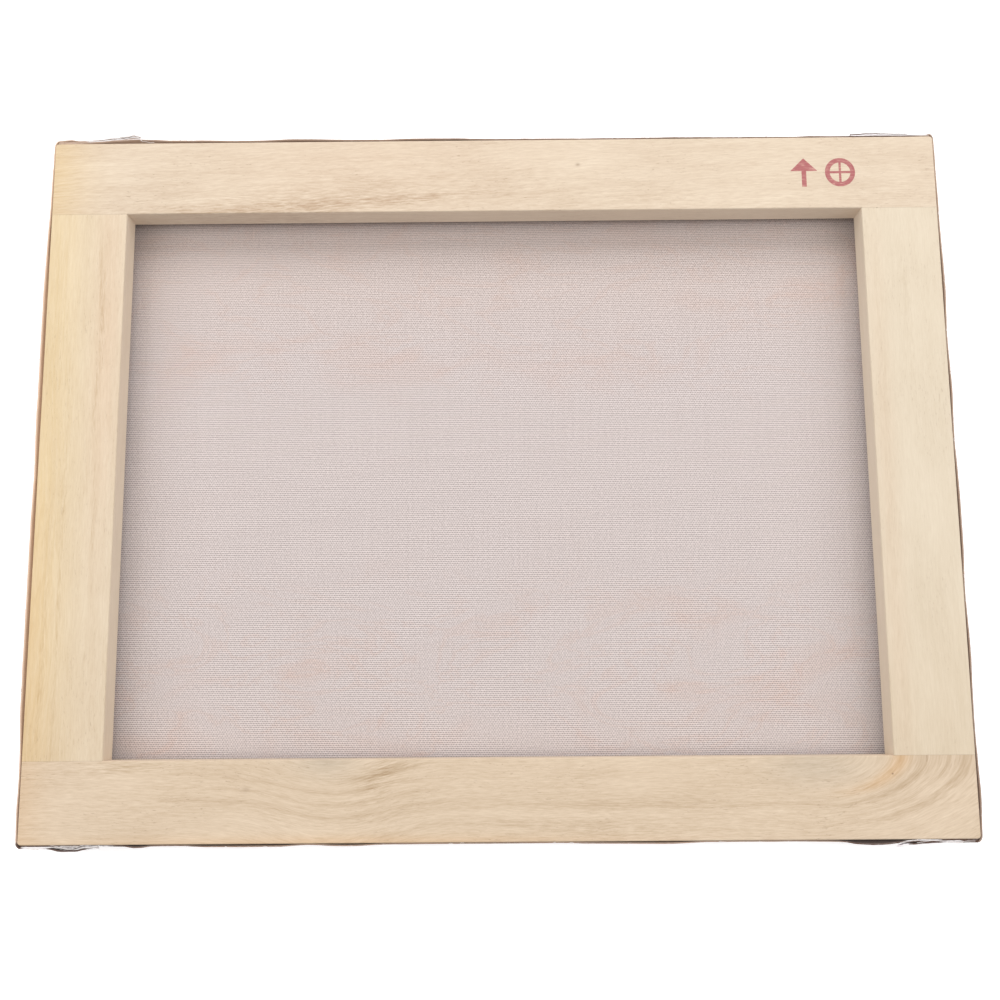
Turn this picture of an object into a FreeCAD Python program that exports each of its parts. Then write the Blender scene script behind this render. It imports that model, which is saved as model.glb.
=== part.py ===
import FreeCAD, Part
import math
import os

import Sketcher

# A wooden screen printing frame with its mesh, lying mesh side down and ink well up.
# X runs along the long rails, Y across them, Z up. The origin is on the underside of the
# mesh, under the middle of the frame. Millimetres.

DRIVING_SIZES = [
    # name, value, what it is
    ("frame_length", 410.0, "outer length of the wood"),
    ("frame_width", 318.0, "outer width of the wood"),
    ("bar_width", 35.0, "width of every rail and stile"),
    ("bar_thickness", 18.0, "thickness of every rail and stile"),
    ("rim_width", 6.0, "flat outer rim on the mesh side, the only wood the mesh lies on"),
    ("bevel_rise", 5.5, "how far the bevel lifts the window edge off the mesh"),
    ("tenon_thickness", 5.0, "thickness of the tenons on the stiles"),
    ("tenon_seat", 8.0, "from the mesh side of the wood to a tenon's lower cheek"),
    ("glue_gap", 0.1, "clearance round a tenon"),
    ("corner_round", 1.5, "radius of the four outer corners in plan"),
    ("arris_round", 0.6, "radius of the sanded long edges"),
    ("mesh_thickness", 0.6, "thickness of the woven mesh"),
    ("mesh_setback", 0.5, "how far the cut edge of the mesh stops below the near face"),
    ("fold_layers", 2.0, "extra layers of mesh in a corner fold"),
    ("fold_reach", 42.0, "length of a corner fold along the near edge"),
    ("fold_foot", 14.0, "length of a corner fold along the mesh side"),
    ("staple_crown", 10.0, "outer width of a staple"),
    ("staple_leg", 6.0, "length of a staple's legs below its crown"),
    ("staple_wire_width", 1.2, "width of the staple wire"),
    ("staple_wire_thickness", 0.5, "thickness of the staple wire"),
    ("staple_point", 1.0, "length of the chisel point of a staple's leg"),
    ("staple_height", 9.5, "height of the staple rows above the mesh side of the wood"),
    ("long_row_count", 9.0, "staples in each long side's row"),
    ("short_row_count", 7.0, "staples in each short side's row"),
    ("long_row_margin", 58.0, "from a corner to the first staple of a long row"),
    ("short_row_margin", 28.0, "from a corner to the first staple of a short row"),
    ("fold_staple_inset", 22.0, "from a corner to the staple through its fold"),
    ("stamp_height", 14.0, "height of the two stamped marks"),
    ("stamp_stroke", 2.2, "stroke width of the stamped marks"),
    ("stamp_gap", 3.5, "gap between the two stamped marks"),
    ("stamp_inset", 37.0, "from the end of the rail to the outer edge of the stamped marks"),
    ("ink_depth", 0.08, "how deep the stamped ink soaks into the wood"),
]

doc = FreeCAD.newDocument("screen_frame")
sheet = doc.addObject("Spreadsheet::Sheet", "sizes")
for row, (name, value, meaning) in enumerate(DRIVING_SIZES, start=1):
    sheet.set(f"A{row}", meaning)
    sheet.set(f"B{row}", str(value))
    sheet.setAlias(f"B{row}", name)
doc.recompute()


def size(name):
    """The value of a driving size, read back from the sheet."""
    return float(sheet.get(name))


# Levels and edges that several pieces share, as expressions of the driving sizes.
WOOD_FLOOR = "sizes.mesh_thickness"
HALF_LENGTH = "sizes.frame_length / 2"
HALF_WIDTH = "sizes.frame_width / 2"
WINDOW_X = "(sizes.frame_length / 2 - sizes.bar_width)"
WINDOW_Y = "(sizes.frame_width / 2 - sizes.bar_width)"
MESH_WALL_HEIGHT = "sizes.bar_thickness - sizes.mesh_setback"
TENON_FLOOR = "sizes.mesh_thickness + sizes.tenon_seat"


def box(name, corner, extents):
    """A Part::Box whose lowest corner and extents are expressions of the sheet."""
    block = doc.addObject("Part::Box", name)
    for side, expression in zip(("Length", "Width", "Height"), extents):
        block.setExpression(side, expression)
    for axis, expression in zip("xyz", corner):
        block.setExpression(f"Placement.Base.{axis}", expression)
    return block


def cut(name, base, tool):
    result = doc.addObject("Part::Cut", name)
    result.Base = base
    result.Tool = tool
    return result


def fuse(name, pieces):
    result = doc.addObject("Part::MultiFuse", name)
    result.Shapes = pieces
    return result


def common(name, first, second):
    result = doc.addObject("Part::Common", name)
    result.Base = first
    result.Tool = second
    return result


def origin_plane(body, role):
    """One of a body's own origin planes, such as XY_Plane."""
    for feature in body.Origin.OriginFeatures:
        if feature.Role == role:
            return feature
    raise ValueError(role)


def polygon_sketch(body, name, role, corners, lift=None):
    """A closed outline whose corners are pairs of expressions, on a plane of the body."""
    sketch = body.newObject("Sketcher::SketchObject", name)
    sketch.AttachmentSupport = (origin_plane(body, role), [""])
    sketch.MapMode = "FlatFace"
    if lift:
        sketch.setExpression("AttachmentOffset.Base.z", lift)
    points = []
    for corner in corners:
        numbers = [float(sheet.evalExpression(expression)) for expression in corner]
        points.append(FreeCAD.Vector(numbers[0], numbers[1], 0))
    count = len(points)
    for i in range(count):
        sketch.addGeometry(Part.LineSegment(points[i], points[(i + 1) % count]))
    for i in range(count):
        sketch.addConstraint(Sketcher.Constraint("Coincident", i, 2, (i + 1) % count, 1))
    for i, corner in enumerate(corners):
        for kind, expression, value in zip(("DistanceX", "DistanceY"), corner, points[i]):
            row = sketch.addConstraint(Sketcher.Constraint(kind, i, 1, value))
            sketch.setExpression(f"Constraints[{row}]", expression)
    return sketch


def rectangle_sketch(body, name, half_x, half_y, lift=None):
    corners = [
        (f"-({half_x})", f"-({half_y})"),
        (f"{half_x}", f"-({half_y})"),
        (f"{half_x}", f"{half_y}"),
        (f"-({half_x})", f"{half_y}"),
    ]
    return polygon_sketch(body, name, "XY_Plane", corners, lift)


def edge_names(shape, wanted):
    """Names of the edges whose middle point passes a test, for a Fillet's Base."""
    names = []
    for number, edge in enumerate(shape.Edges, start=1):
        middle = edge.valueAt((edge.FirstParameter + edge.LastParameter) / 2)
        if wanted(edge, middle):
            names.append(f"Edge{number}")
    return names


def frame_profile():
    """The whole wooden frame as if it were one piece: every bar is a share of this form.

    It has the bevel on the mesh side, which leaves the mesh only the outer rim to lie on,
    the rounded outer corners and the sanded edges.
    """
    body = doc.addObject("PartDesign::Body", "frame_profile")
    body.setExpression("Placement.Base.z", WOOD_FLOOR)
    slab = body.newObject("PartDesign::Pad", "slab")
    slab.Profile = rectangle_sketch(body, "outer_outline", HALF_LENGTH, HALF_WIDTH)
    slab.setExpression("Length", "sizes.bar_thickness")
    doc.recompute()
    window = body.newObject("PartDesign::Pocket", "window")
    window.Profile = rectangle_sketch(body, "window_outline", WINDOW_X, WINDOW_Y)
    window.Type = "ThroughAll"
    window.Midplane = True
    doc.recompute()
    bevel = body.newObject("PartDesign::SubtractiveLoft", "bevel")
    bevel.Profile = rectangle_sketch(
        body, "bevel_foot",
        f"{HALF_LENGTH} - sizes.rim_width",
        f"{HALF_WIDTH} - sizes.rim_width",
    )
    bevel.Sections = [
        rectangle_sketch(body, "bevel_top", WINDOW_X, WINDOW_Y, "sizes.bevel_rise")
    ]
    bevel.Ruled = True
    doc.recompute()

    half_length = size("frame_length") / 2
    half_width = size("frame_width") / 2
    thickness = size("bar_thickness")
    near = 0.01

    def is_outer_corner(edge, middle):
        on_corner = abs(abs(middle.x) - half_length) < near
        return on_corner and abs(abs(middle.y) - half_width) < near

    corners = body.newObject("PartDesign::Fillet", "rounded_corners")
    corners.Base = (bevel, edge_names(bevel.Shape, is_outer_corner))
    corners.setExpression("Radius", "sizes.corner_round")
    doc.recompute()

    def is_sanded(edge, middle):
        on_near_face = abs(middle.z - thickness) < near
        on_rim = abs(middle.z) < near
        outer = abs(middle.x) > half_length - 1 or abs(middle.y) > half_width - 1
        return on_near_face or (on_rim and outer)

    sanded = body.newObject("PartDesign::Fillet", "sanded_edges")
    sanded.Base = (corners, edge_names(corners.Shape, is_sanded))
    sanded.setExpression("Radius", "sizes.arris_round")
    doc.recompute()
    body.Tip = sanded
    return body


def rail_blank(name, low_y):
    """A full-length bar with an open slot at each end for a stile's tenon."""
    bar = box(
        f"{name}_bar",
        (f"-{HALF_LENGTH}", low_y, WOOD_FLOOR),
        ("sizes.frame_length", "sizes.bar_width", "sizes.bar_thickness"),
    )
    slots = []
    for end, low_x in (("left", f"-{HALF_LENGTH}"), ("right", WINDOW_X)):
        slots.append(box(
            f"{name}_slot_{end}",
            (low_x, low_y, f"{TENON_FLOOR} - sizes.glue_gap"),
            ("sizes.bar_width", "sizes.bar_width",
             "sizes.tenon_thickness + 2 * sizes.glue_gap"),
        ))
    return cut(f"{name}_blank", bar, fuse(f"{name}_slots", slots))


def stile_blank(name, low_x):
    """A bar that butts between the rails, with a tenon at each end."""
    bar = box(
        f"{name}_bar",
        (low_x, f"-{WINDOW_Y}", WOOD_FLOOR),
        ("sizes.bar_width", "sizes.frame_width - 2 * sizes.bar_width", "sizes.bar_thickness"),
    )
    tenons = box(
        f"{name}_tenons",
        (low_x, f"-{HALF_WIDTH} + sizes.glue_gap", TENON_FLOOR),
        ("sizes.bar_width", "sizes.frame_width - 2 * sizes.glue_gap", "sizes.tenon_thickness"),
    )
    return fuse(f"{name}_blank", [bar, tenons])


def staple_form():
    """One staple standing on its points: crown along X, legs down -Y, wire width along Z."""
    body = doc.addObject("PartDesign::Body", "staple_form")
    outer = "sizes.staple_crown / 2"
    inner = "(sizes.staple_crown / 2 - sizes.staple_wire_thickness)"
    shank = "-(sizes.staple_leg - sizes.staple_point)"
    corners = [
        (f"-{outer}", "sizes.staple_wire_thickness"),
        (f"-{outer}", shank),
        (f"-{inner}", "-sizes.staple_leg"),
        (f"-{inner}", "0"),
        (inner, "0"),
        (inner, "-sizes.staple_leg"),
        (outer, shank),
        (outer, "sizes.staple_wire_thickness"),
    ]
    wire = body.newObject("PartDesign::Pad", "staple_wire")
    wire.Profile = polygon_sketch(body, "staple_outline", "XY_Plane", corners)
    wire.setExpression("Length", "sizes.staple_wire_width")
    wire.Midplane = True
    doc.recompute()

    def is_crown_shoulder(edge, middle):
        across = abs(edge.tangentAt(edge.FirstParameter).z) > 0.5
        return across and middle.y > size("staple_wire_thickness") / 2

    shoulders = body.newObject("PartDesign::Fillet", "staple_shoulders")
    shoulders.Base = (wire, edge_names(wire.Shape, is_crown_shoulder))
    shoulders.setExpression("Radius", "sizes.staple_wire_thickness * 0.9")
    doc.recompute()
    body.Tip = shoulders
    return body


def stapled(form, side, along, standoff, height, tilt):
    """A staple driven square into one side: along it, so far out of the wood, so high up."""
    shape = form.Shape.copy()
    shape.Placement = FreeCAD.Placement()
    turn_to_side = {"top": 0, "left": 90, "bottom": 180, "right": 270}[side]
    reach = size("frame_width") / 2 if side in ("top", "bottom") else size("frame_length") / 2
    shape.rotate(FreeCAD.Vector(), FreeCAD.Vector(0, 1, 0), tilt)
    shape.translate(FreeCAD.Vector(along, reach + standoff, height))
    shape.rotate(FreeCAD.Vector(), FreeCAD.Vector(0, 0, 1), turn_to_side)
    return shape


def staple_row(form, side, count, margin, side_length):
    """A hand-driven row: evenly spaced, with small wanders in place, height and tilt."""
    height = size("mesh_thickness") + size("staple_height")
    first = -side_length / 2 + margin
    pitch = (side_length - 2 * margin) / (count - 1)
    wander = 2.0
    lean = 5.0
    staples = []
    for i in range(count):
        along = first + i * pitch + wander * math.sin(2.1 * i)
        lift = 0.4 * wander * math.cos(1.7 * i)
        tilt = lean * math.sin(1.3 * i + 0.5)
        staples.append(stapled(form, side, along, size("mesh_thickness"), height + lift, tilt))
    return staples


def group(name, shapes):
    """A node that holds several separate solids of one kind."""
    node = doc.addObject("Part::Feature", name)
    node.Shape = Part.Compound(shapes)
    return node


def fold_plate(name, end, side):
    """The surplus mesh of one corner, folded flat onto the long side.

    It is a sloped plate of extra layers: long at the near edge, short at the mesh side.
    """
    body = doc.addObject("PartDesign::Body", name)
    body.Placement.Rotation = FreeCAD.Rotation(FreeCAD.Vector(1, 0, 0), 90)
    layers = "(sizes.fold_layers * sizes.mesh_thickness)"
    corner_x = f"({HALF_LENGTH} + sizes.mesh_thickness)"
    mesh_face = f"({HALF_WIDTH} + sizes.mesh_thickness)"
    if side == "top":
        body.setExpression("Placement.Base.y", f"{mesh_face} + {layers}")
    else:
        body.setExpression("Placement.Base.y", f"-{mesh_face}")
    foot = "sizes.mesh_thickness"
    crest = f"(sizes.mesh_thickness + {MESH_WALL_HEIGHT})"
    sign = "-1" if end == "left" else "1"
    corners = [
        (f"{sign} * {corner_x}", foot),
        (f"{sign} * ({corner_x} - sizes.fold_foot)", foot),
        (f"{sign} * ({corner_x} - sizes.fold_reach)", crest),
        (f"{sign} * {corner_x}", crest),
    ]
    plate = body.newObject("PartDesign::Pad", f"{name}_plate")
    plate.Profile = polygon_sketch(body, f"{name}_outline", "XY_Plane", corners)
    plate.setExpression("Length", layers)
    doc.recompute()
    body.Tip = plate
    return body


def stamp_marks():
    """A direction arrow and a ring with a cross-hair, stamped flush into the top rail."""
    tall = size("stamp_height")
    stroke = size("stamp_stroke")
    film = size("ink_depth")
    ring_radius = tall / 2
    head = tall * 0.45
    shaft_half = stroke / 2
    up = FreeCAD.Vector(0, 0, film)
    arrow_points = [
        (-shaft_half, -tall / 2),
        (shaft_half, -tall / 2),
        (shaft_half, tall / 2 - head),
        (head, tall / 2 - head),
        (0, tall / 2),
        (-head, tall / 2 - head),
        (-shaft_half, tall / 2 - head),
        (-shaft_half, -tall / 2),
    ]
    arrow = Part.Face(Part.makePolygon([FreeCAD.Vector(x, y, 0) for x, y in arrow_points]))
    arrow = arrow.extrude(up)
    ring = Part.makeCylinder(ring_radius, film)
    ring = ring.cut(Part.makeCylinder(ring_radius - stroke, film))
    for angle in (0, 90):
        bar = Part.makeBox(2 * ring_radius - stroke, stroke / 2, film)
        bar.translate(FreeCAD.Vector(-ring_radius + stroke / 2, -stroke / 4, 0))
        bar.rotate(FreeCAD.Vector(), FreeCAD.Vector(0, 0, 1), angle)
        ring = ring.fuse(bar)
    ring = ring.removeSplitter()
    ring_x = size("frame_length") / 2 - size("stamp_inset") - ring_radius
    arrow_x = ring_x - ring_radius - size("stamp_gap") - head
    rail_middle = size("frame_width") / 2 - size("bar_width") / 2
    ink_floor = size("mesh_thickness") + size("bar_thickness") - film
    arrow.translate(FreeCAD.Vector(arrow_x, rail_middle, ink_floor))
    ring.translate(FreeCAD.Vector(ring_x, rail_middle, ink_floor))
    return [arrow, ring]


# The mesh: one cloth, held as its flat panel and its four turned-up sides.
mesh_blanks = {
    "mesh_panel": box(
        "mesh_panel_blank",
        (f"-{HALF_LENGTH} - sizes.mesh_thickness", f"-{HALF_WIDTH} - sizes.mesh_thickness", "0"),
        ("sizes.frame_length + 2 * sizes.mesh_thickness",
         "sizes.frame_width + 2 * sizes.mesh_thickness", "sizes.mesh_thickness"),
    ),
}
for side, low_y in (("top", HALF_WIDTH), ("bottom", f"-{HALF_WIDTH} - sizes.mesh_thickness")):
    mesh_blanks[f"mesh_side_{side}"] = box(
        f"mesh_side_{side}_blank",
        (f"-{HALF_LENGTH} - sizes.mesh_thickness", low_y, WOOD_FLOOR),
        ("sizes.frame_length + 2 * sizes.mesh_thickness", "sizes.mesh_thickness",
         MESH_WALL_HEIGHT),
    )
for side, low_x in (("left", f"-{HALF_LENGTH} - sizes.mesh_thickness"), ("right", HALF_LENGTH)):
    mesh_blanks[f"mesh_side_{side}"] = box(
        f"mesh_side_{side}_blank",
        (low_x, f"-{HALF_WIDTH}", WOOD_FLOOR),
        ("sizes.mesh_thickness", "sizes.frame_width", MESH_WALL_HEIGHT),
    )
for side in ("top", "bottom"):
    for end in ("left", "right"):
        name = f"corner_fold_{side}_{end}"
        mesh_blanks[name] = fold_plate(f"{name}_blank", end, side)

# Staples: a row through the mesh into each bar, and one through each corner fold.
form = staple_form()
staple_groups = {}
for side in ("top", "bottom"):
    staple_groups[f"staples_{side}"] = group(f"staples_{side}", staple_row(
        form, side, int(size("long_row_count")), size("long_row_margin"),
        size("frame_length"),
    ))
for side in ("left", "right"):
    staple_groups[f"staples_{side}"] = group(f"staples_{side}", staple_row(
        form, side, int(size("short_row_count")), size("short_row_margin"),
        size("frame_width"),
    ))
fold_face = size("mesh_thickness") * (1 + size("fold_layers"))
fold_height = size("mesh_thickness") + size("staple_height")
fold_along = size("frame_length") / 2 - size("fold_staple_inset")
staple_groups["staples_corner_folds"] = group("staples_corner_folds", [
    stapled(form, side, along, fold_face, fold_height, 0)
    for side in ("top", "bottom")
    for along in (-fold_along, fold_along)
])

size_stamp = group("size_stamp", stamp_marks())

# Wood and mesh have a seat of its own shape for every staple leg and for the ink.
set_in_pieces = doc.addObject("Part::Compound", "set_in_pieces")
set_in_pieces.Links = [*staple_groups.values(), size_stamp]

profile = frame_profile()
wood_blanks = {
    "top_rail": rail_blank("top_rail", WINDOW_Y),
    "bottom_rail": rail_blank("bottom_rail", f"-{HALF_WIDTH}"),
    "left_stile": stile_blank("left_stile", f"-{HALF_LENGTH}"),
    "right_stile": stile_blank("right_stile", WINDOW_X),
}

nodes = {**staple_groups, "size_stamp": size_stamp}
for name, blank in wood_blanks.items():
    nodes[name] = cut(name, common(f"{name}_formed", blank, profile), set_in_pieces)
for name, blank in mesh_blanks.items():
    nodes[name] = cut(name, blank, set_in_pieces)

for name, node in nodes.items():
    node.Label = name

doc.recompute()

for item in doc.Objects:
    if "Invalid" in item.State or "Error" in item.State:
        raise RuntimeError(f"{item.Name} failed: {item.State}")
for name, node in nodes.items():
    if node.Shape.isNull() or not node.Shape.isValid() or not node.Shape.Solids:
        raise RuntimeError(f"{name} has no valid solid")

os.makedirs("parts", exist_ok=True)
for name, node in sorted(nodes.items()):
    node.Shape.exportStep(f"parts/{name}.step")
    print(f"{name}: {len(node.Shape.Solids)} solid(s), {node.Shape.Volume:.1f} mm3")
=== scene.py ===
import math
import random

import bmesh
import bpy
from mathutils import Matrix, Vector, noise


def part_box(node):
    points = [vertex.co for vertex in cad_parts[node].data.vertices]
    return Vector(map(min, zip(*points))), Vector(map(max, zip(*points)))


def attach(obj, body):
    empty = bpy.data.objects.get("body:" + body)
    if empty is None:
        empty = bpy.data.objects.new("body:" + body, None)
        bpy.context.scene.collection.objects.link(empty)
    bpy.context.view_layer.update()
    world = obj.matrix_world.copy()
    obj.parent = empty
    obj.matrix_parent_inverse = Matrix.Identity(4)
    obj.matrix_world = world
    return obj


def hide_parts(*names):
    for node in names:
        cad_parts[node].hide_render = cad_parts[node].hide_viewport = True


# A wooden screen printing frame, seen from its ink-well side: four pale bars with grain of
# their own, and one woven cloth stretched under them, turned up round the sides, folded at
# the corners and stapled. Lengths are millimetres, except for the lights and the camera.

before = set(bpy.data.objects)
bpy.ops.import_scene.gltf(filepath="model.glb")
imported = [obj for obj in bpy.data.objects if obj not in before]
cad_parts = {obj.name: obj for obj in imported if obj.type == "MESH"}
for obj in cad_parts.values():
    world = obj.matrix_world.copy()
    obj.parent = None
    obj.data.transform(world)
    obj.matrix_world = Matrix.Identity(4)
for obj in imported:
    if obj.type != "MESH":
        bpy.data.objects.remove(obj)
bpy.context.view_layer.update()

MM = 0.001


def box_mm(node):
    """Lowest and highest corner of a CAD node, in millimetres."""
    low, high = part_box(node)
    return low / MM, high / MM


RAIL_LOW, RAIL_HIGH = box_mm("top_rail")
STILE_LOW, STILE_HIGH = box_mm("left_stile")
HALF_LENGTH = RAIL_HIGH.x
HALF_WIDTH = RAIL_HIGH.y
WINDOW_X = -STILE_HIGH.x
WINDOW_Y = RAIL_LOW.y
NEAR_FACE = RAIL_HIGH.z
CUT_EDGE = box_mm("mesh_side_top")[1].z
RAIL_MIDDLE = (RAIL_LOW.y + RAIL_HIGH.y) / 2
STILE_MIDDLE = (STILE_LOW.x + STILE_HIGH.x) / 2


def linear(red, green, blue):
    """A colour given as 0 to 255 display values, as the shader takes it."""
    def channel(value):
        share = value / 255
        if share <= 0.04045:
            return share / 12.92
        return ((share + 0.055) / 1.055) ** 2.4
    return (channel(red), channel(green), channel(blue), 1.0)


# ---------------------------------------------------------------- materials

class Graph:
    """A material's node graph. Values that go in may be numbers, tuples or other outputs."""

    def __init__(self, name):
        self.material = bpy.data.materials.new(name)
        self.material.use_nodes = True
        self.tree = self.material.node_tree
        self.tree.nodes.clear()

    def set(self, socket, value):
        if isinstance(value, bpy.types.NodeSocket):
            self.tree.links.new(value, socket)
        else:
            socket.default_value = value

    def add(self, kind, inputs=None, **settings):
        node = self.tree.nodes.new(f"ShaderNode{kind}")
        for name, value in settings.items():
            setattr(node, name, value)
        for key, value in (inputs or {}).items():
            self.set(node.inputs[key], value)
        return node

    def math(self, operation, first, second=0.0, third=0.0, clamp=False):
        inputs = {0: first, 1: second, 2: third}
        return self.add("Math", inputs, operation=operation, use_clamp=clamp).outputs[0]

    def total(self, *terms):
        result = terms[0]
        for term in terms[1:]:
            result = self.math("ADD", result, term)
        return result

    def minus(self, first, second):
        return self.math("SUBTRACT", first, second)

    def times(self, first, second):
        return self.math("MULTIPLY", first, second)

    def wave(self, value, period, phase=0.0):
        """Sine of a length, from -1 to 1 with the given period."""
        return self.math("SINE", self.math("MULTIPLY_ADD", value, 2 * math.pi / period, phase))

    def bell(self, distance):
        """A smooth hill: 1 where the distance is 0, and near 0 past 2."""
        return self.math("POWER", math.e, self.times(self.times(distance, distance), -1.0))

    def place(self):
        """The point on the piece, in millimetres of the shared frame."""
        parts = self.add("SeparateXYZ", {0: self.add("TexCoord").outputs["Object"]}).outputs
        return [self.times(part, 1 / MM) for part in parts]

    def patches(self, place, rates, detail=3.0, roughness=0.5, distortion=0.0, layer=0.0):
        """Noise over a place; rates say how often it changes per millimetre.

        With a place of two directions it is a slice through the noise, and layer says which.
        """
        spots = [self.times(part, rate) for part, rate in zip(place, rates)]
        if len(spots) < 3:
            spots.append(layer)
        node = self.add("TexNoise", {
            "Vector": self.add("CombineXYZ", dict(enumerate(spots))).outputs[0],
            "Scale": 1.0, "Detail": detail, "Roughness": roughness, "Distortion": distortion,
        })
        return node.outputs[0]

    def swing(self, place, rates, detail=3.0, roughness=0.5, layer=0.0):
        """The same noise about zero."""
        return self.minus(self.patches(place, rates, detail, roughness, layer=layer), 0.5)

    def attribute(self, name):
        return self.add("Attribute", attribute_name=name).outputs["Fac"]

    def ramp(self, value, low, high):
        """0 below low, 1 above high, smooth between; high may be the lower one."""
        node = self.add("MapRange", {
            "Value": value, "From Min": low, "From Max": high,
        }, interpolation_type="SMOOTHSTEP")
        return node.outputs[0]

    def mix(self, factor, first, second, blend="MIX"):
        node = self.add("Mix", {0: factor}, data_type="RGBA", blend_type=blend)
        self.set(node.inputs[6], first)
        self.set(node.inputs[7], second)
        return node.outputs[2]

    def surface(self, color, roughness, height=None, relief=0.1, **shader):
        """Ends the graph in one Principled shader, with the height as bump in millimetres."""
        inputs = {"Base Color": color, "Roughness": roughness}
        inputs.update({name.replace("_", " "): value for name, value in shader.items()})
        if height is not None:
            inputs["Normal"] = self.add("Bump", {
                "Height": height, "Distance": relief * MM, "Strength": 1.0,
            }).outputs[0]
        bsdf = self.add("BsdfPrincipled", inputs)
        self.add("OutputMaterial", {"Surface": bsdf.outputs[0]})
        return self.material


# How often each mark of the wood changes per millimetre: along the grain, across it and up
# through the bar.
WARP = (0.011, 0.03, 0.03)
CLOUDS = (0.022, 0.05, 0.05)
FIBRES = (0.06, 1.1, 1.1)
HAIRS = (0.2, 2.0, 2.0)
PORES = (0.45, 2.4, 2.4)
BROAD_ALONG = 0.008
NARROW_ALONG = 0.012
NARROW_IN_BROAD = 3.1       # narrow bands to a broad one
WARP_HEIGHT = 8.0           # how far the growth lines wander across the bar
RING_TILT = 0.6             # how much a growth line moves across for its depth in the bar
SEED_STEP = 531.0           # along the grain, from one bar's wood to the next
PORE_BROWN = linear(140, 112, 88)
KNOT_BROWN = linear(120, 92, 70)
SEAM_BROWN = linear(96, 72, 52)
PAINTED_WALL_LIGHT = linear(250, 234, 216)

# The line where a stile meets a rail.
SEAM_WIDTH = 0.1
SEAM_OPENING = 0.22         # added to the width where the seam gapes
SEAM_DARK = 0.22
SEAM_OPEN_DARK = 0.5        # added to the darkness there
FACE_DEPTH = 0.2            # only what lies this close to the near face shows it


def board_place(graph, along, centre):
    """Millimetres along the grain, across it and up through a bar, from its own middle."""
    x, y, z = graph.place()
    x = graph.minus(x, centre[0])
    y = graph.minus(y, centre[1])
    return (x, y, z) if along == "x" else (y, x, z)


def hump(graph, along, across, place, reach, slope=0.0):
    """A smooth hill, 1 at a place on the bar and 0 a few reaches away, along a slope."""
    sideways = graph.minus(along, place[0])
    level = graph.minus(across, place[1])
    level = graph.minus(level, graph.times(sideways, slope))
    return graph.times(
        graph.bell(graph.math("DIVIDE", sideways, reach[0])),
        graph.bell(graph.math("DIVIDE", level, reach[1])))


def seam_lines(graph):
    """Where a stile's shoulder meets a rail on the near face, and where it is a little open."""
    x, y, z = graph.place()
    from_seam = graph.math("ABSOLUTE", graph.minus(graph.math("ABSOLUTE", y), WINDOW_Y))
    gap = graph.ramp(graph.patches((x, y), (0.23, 0.009), 1.0, layer=7.0), 0.63, 0.68)
    width = graph.total(graph.times(gap, SEAM_OPENING), SEAM_WIDTH)
    seam = graph.minus(1.0, graph.ramp(graph.math("DIVIDE", from_seam, width), 0.6, 1.4))
    beside_window = graph.math("GREATER_THAN", graph.math("ABSOLUTE", x), WINDOW_X)
    on_face = graph.math("GREATER_THAN", z, NEAR_FACE - FACE_DEPTH)
    depth = graph.total(graph.times(gap, SEAM_OPEN_DARK), SEAM_DARK)
    return graph.times(graph.times(graph.times(seam, beside_window), on_face), depth)


def growth_line(graph, along, depth, dips, turn):
    """Which growth line a point lies on: its depth under the branches, in millimetres.

    Lines run along the bar. Each of dips, (place, sink, spread), presses them down round a
    branch, and turn, (place, stretch), bends them up to the edge past a place.
    """
    line = depth
    for place, sink, spread in dips:
        hill = graph.bell(graph.math("DIVIDE", graph.minus(along, place), spread))
        line = graph.minus(line, graph.times(hill, sink))
    if turn:
        past = graph.math("MAXIMUM", graph.minus(along, turn[0]), 0.0)
        past = graph.math("DIVIDE", past, turn[1])
        bent = graph.math("SQRT", graph.total(
            graph.times(line, line), graph.times(past, past)))
        line = graph.minus(graph.total(line, bent), graph.math("ABSOLUTE", line))
    return line


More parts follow.
